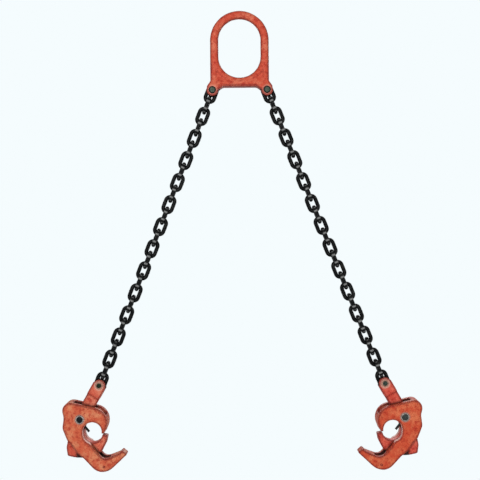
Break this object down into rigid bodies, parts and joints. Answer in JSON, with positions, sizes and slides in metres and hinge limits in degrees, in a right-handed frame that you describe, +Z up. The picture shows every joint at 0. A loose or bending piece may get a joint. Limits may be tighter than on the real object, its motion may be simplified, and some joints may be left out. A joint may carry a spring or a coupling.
{
  "type": "drum lifter",
  "caption": "Drum lifting sling: an oblong forged master link carries short-link chain legs, each ending in a slotted hook clamp whose bell-crank jaw lever shuts on a drum's rim.",
  "frame": {"origin": "the crane hook's seat: inside the crown of the master link, at mid thickness", "axes": "+Z up along the load, X across the two legs, Y through the thickness of the link"},
  "size_m": [0.5698, 0.0356, 0.7318],
  "materials": {
    "orange_paint": "orange-red paint over a rough forged surface, worn dark at the edges",
    "chain_steel": "black oxide on welded alloy chain",
    "pin_steel": "dark bare steel, riveted over",
    "spring_steel": "black spring steel"
  },
  "bodies": {
    "master": {"master_link": "orange_paint", "left_lug_pin": "pin_steel", "right_lug_pin": "pin_steel"},
    "left_link_01": {"left_link_01": "chain_steel"},
    "left_links_02_03": {"left_links_02_03": "chain_steel"},
    "left_links_04_05": {"left_links_04_05": "chain_steel"},
    "left_links_06_07": {"left_links_06_07": "chain_steel"},
    "left_links_08_09": {"left_links_08_09": "chain_steel"},
    "left_links_10_11": {"left_links_10_11": "chain_steel"},
    "left_links_12_13": {"left_links_12_13": "chain_steel"},
    "left_links_14_15": {"left_links_14_15": "chain_steel"},
    "left_links_16_17": {"left_links_16_17": "chain_steel"},
    "left_links_18_19": {"left_links_18_19": "chain_steel"},
    "left_links_20_21": {"left_links_20_21": "chain_steel"},
    "left_links_22_23": {"left_links_22_23": "chain_steel"},
    "left_links_24_25": {"left_links_24_25": "chain_steel"},
    "left_links_26_27": {"left_links_26_27": "chain_steel"},
    "left_lever": {"left_jaw_lever": "orange_paint", "left_lever_pin": "pin_steel"},
    "left_clamp": {"left_clamp_body": "orange_paint", "left_pivot_pin": "pin_steel", "left_closing_spring": "spring_steel"},
    "right_link_01": {"right_link_01": "chain_steel"},
    "right_links_02_03": {"right_links_02_03": "chain_steel"},
    "right_links_04_05": {"right_links_04_05": "chain_steel"},
    "right_links_06_07": {"right_links_06_07": "chain_steel"},
    "right_links_08_09": {"right_links_08_09": "chain_steel"},
    "right_links_10_11": {"right_links_10_11": "chain_steel"},
    "right_links_12_13": {"right_links_12_13": "chain_steel"},
    "right_links_14_15": {"right_links_14_15": "chain_steel"},
    "right_links_16_17": {"right_links_16_17": "chain_steel"},
    "right_links_18_19": {"right_links_18_19": "chain_steel"},
    "right_links_20_21": {"right_links_20_21": "chain_steel"},
    "right_links_22_23": {"right_links_22_23": "chain_steel"},
    "right_links_24_25": {"right_links_24_25": "chain_steel"},
    "right_links_26_27": {"right_links_26_27": "chain_steel"},
    "right_lever": {"right_jaw_lever": "orange_paint", "right_lever_pin": "pin_steel"},
    "right_clamp": {"right_clamp_body": "orange_paint", "right_pivot_pin": "pin_steel", "right_closing_spring": "spring_steel"}
  },
  "joints": [
    {"name": "left_leg_swing", "type": "hinge", "parent": "master", "child": "left_link_01", "pos_m": [-0.0436, 0, -0.114], "axis": [0, 1, 0], "range_deg": [-30, 35]},
    {"name": "right_leg_swing", "type": "hinge", "parent": "master", "child": "right_link_01", "pos_m": [0.0436, 0, -0.114], "axis": [0, 1, 0], "range_deg": [-35, 30]},
    {"name": "left_jaw_opening", "type": "hinge", "parent": "left_lever", "child": "left_clamp", "pos_m": [-0.25733, 0, -0.6352], "axis": [0, -1, 0], "range_deg": [0, 25], "stiffness_Nm_per_rad": 0.6, "springref_deg": -34.38},
    {"name": "right_jaw_opening", "type": "hinge", "parent": "right_lever", "child": "right_clamp", "pos_m": [0.25733, 0, -0.6352], "axis": [0, 1, 0], "range_deg": [0, 25], "stiffness_Nm_per_rad": 0.6, "springref_deg": -34.38},
    {"name": "left_lever_swing", "type": "hinge", "parent": "left_links_26_27", "child": "left_lever", "pos_m": [-0.22731, 0, -0.58279], "axis": [0, 1, 0], "range_deg": [-40, 40]},
    {"name": "right_lever_swing", "type": "hinge", "parent": "right_links_26_27", "child": "right_lever", "pos_m": [0.22731, 0, -0.58279], "axis": [0, 1, 0], "range_deg": [-40, 40]},
    {"name": "left_bend_02", "type": "hinge", "parent": "left_link_01", "child": "left_links_02_03", "pos_m": [-0.05044, 0, -0.13146], "axis": [0.9311, 0, -0.3649], "range_deg": [-45, 45]},
    {"name": "left_bend_03", "type": "hinge", "parent": "left_links_02_03", "child": "left_links_04_05", "pos_m": [-0.06186, 0, -0.1606], "axis": [0, 1, 0], "range_deg": [-38, 45]},
    {"name": "left_bend_04", "type": "hinge", "parent": "left_links_04_05", "child": "left_links_06_07", "pos_m": [-0.07803, 0, -0.20184], "axis": [-0.9311, 0, 0.3649], "range_deg": [-45, 45]},
    {"name": "left_bend_05", "type": "hinge", "parent": "left_links_06_07", "child": "left_links_08_09", "pos_m": [-0.08945, 0, -0.23099], "axis": [0, -1, 0], "range_deg": [-45, 45]},
    {"name": "left_bend_06", "type": "hinge", "parent": "left_links_08_09", "child": "left_links_10_11", "pos_m": [-0.10561, 0, -0.27223], "axis": [0.9311, 0, -0.3649], "range_deg": [-45, 45]},
    {"name": "left_bend_07", "type": "hinge", "parent": "left_links_10_11", "child": "left_links_12_13", "pos_m": [-0.11703, 0, -0.30138], "axis": [0, 1, 0], "range_deg": [-45, 45]},
    {"name": "left_bend_08", "type": "hinge", "parent": "left_links_12_13", "child": "left_links_14_15", "pos_m": [-0.1332, 0, -0.34262], "axis": [-0.9311, 0, 0.3649], "range_deg": [-45, 45]},
    {"name": "left_bend_09", "type": "hinge", "parent": "left_links_14_15", "child": "left_links_16_17", "pos_m": [-0.14462, 0, -0.37176], "axis": [0, -1, 0], "range_deg": [-45, 45]},
    {"name": "left_bend_10", "type": "hinge", "parent": "left_links_16_17", "child": "left_links_18_19", "pos_m": [-0.16078, 0, -0.41301], "axis": [0.9311, 0, -0.3649], "range_deg": [-45, 45]},
    {"name": "left_bend_11", "type": "hinge", "parent": "left_links_18_19", "child": "left_links_20_21", "pos_m": [-0.1722, 0, -0.44215], "axis": [0, 1, 0], "range_deg": [-45, 45]},
    {"name": "left_bend_12", "type": "hinge", "parent": "left_links_20_21", "child": "left_links_22_23", "pos_m": [-0.18837, 0, -0.4834], "axis": [-0.9311, 0, 0.3649], "range_deg": [-45, 45]},
    {"name": "left_bend_13", "type": "hinge", "parent": "left_links_22_23", "child": "left_links_24_25", "pos_m": [-0.19979, 0, -0.51254], "axis": [0, -1, 0], "range_deg": [-45, 45]},
    {"name": "left_bend_14", "type": "hinge", "parent": "left_links_24_25", "child": "left_links_26_27", "pos_m": [-0.21595, 0, -0.55378], "axis": [0.9311, 0, -0.3649], "range_deg": [-45, 45]},
    {"name": "right_bend_02", "type": "hinge", "parent": "right_link_01", "child": "right_links_02_03", "pos_m": [0.05044, 0, -0.13146], "axis": [0.9311, 0, 0.3649], "range_deg": [-45, 45]},
    {"name": "right_bend_03", "type": "hinge", "parent": "right_links_02_03", "child": "right_links_04_05", "pos_m": [0.06186, 0, -0.1606], "axis": [0, 1, 0], "range_deg": [-45, 38]},
    {"name": "right_bend_04", "type": "hinge", "parent": "right_links_04_05", "child": "right_links_06_07", "pos_m": [0.07803, 0, -0.20184], "axis": [-0.9311, 0, -0.3649], "range_deg": [-45, 45]},
    {"name": "right_bend_05", "type": "hinge", "parent": "right_links_06_07", "child": "right_links_08_09", "pos_m": [0.08945, 0, -0.23099], "axis": [0, -1, 0], "range_deg": [-45, 45]},
    {"name": "right_bend_06", "type": "hinge", "parent": "right_links_08_09", "child": "right_links_10_11", "pos_m": [0.10561, 0, -0.27223], "axis": [0.9311, 0, 0.3649], "range_deg": [-45, 45]},
    {"name": "right_bend_07", "type": "hinge", "parent": "right_links_10_11", "child": "right_links_12_13", "pos_m": [0.11703, 0, -0.30138], "axis": [0, 1, 0], "range_deg": [-45, 45]},
    {"name": "right_bend_08", "type": "hinge", "parent": "right_links_12_13", "child": "right_links_14_15", "pos_m": [0.1332, 0, -0.34262], "axis": [-0.9311, 0, -0.3649], "range_deg": [-45, 45]},
    {"name": "right_bend_09", "type": "hinge", "parent": "right_links_14_15", "child": "right_links_16_17", "pos_m": [0.14462, 0, -0.37176], "axis": [0, -1, 0], "range_deg": [-45, 45]},
    {"name": "right_bend_10", "type": "hinge", "parent": "right_links_16_17", "child": "right_links_18_19", "pos_m": [0.16078, 0, -0.41301], "axis": [0.9311, 0, 0.3649], "range_deg": [-45, 45]},
    {"name": "right_bend_11", "type": "hinge", "parent": "right_links_18_19", "child": "right_links_20_21", "pos_m": [0.1722, 0, -0.44215], "axis": [0, 1, 0], "range_deg": [-45, 45]},
    {"name": "right_bend_12", "type": "hinge", "parent": "right_links_20_21", "child": "right_links_22_23", "pos_m": [0.18837, 0, -0.4834], "axis": [-0.9311, 0, -0.3649], "range_deg": [-45, 45]},
    {"name": "right_bend_13", "type": "hinge", "parent": "right_links_22_23", "child": "right_links_24_25", "pos_m": [0.19979, 0, -0.51254], "axis": [0, -1, 0], "range_deg": [-45, 45]},
    {"name": "right_bend_14", "type": "hinge", "parent": "right_links_24_25", "child": "right_links_26_27", "pos_m": [0.21595, 0, -0.55378], "axis": [0.9311, 0, 0.3649], "range_deg": [-45, 45]}
  ]
}
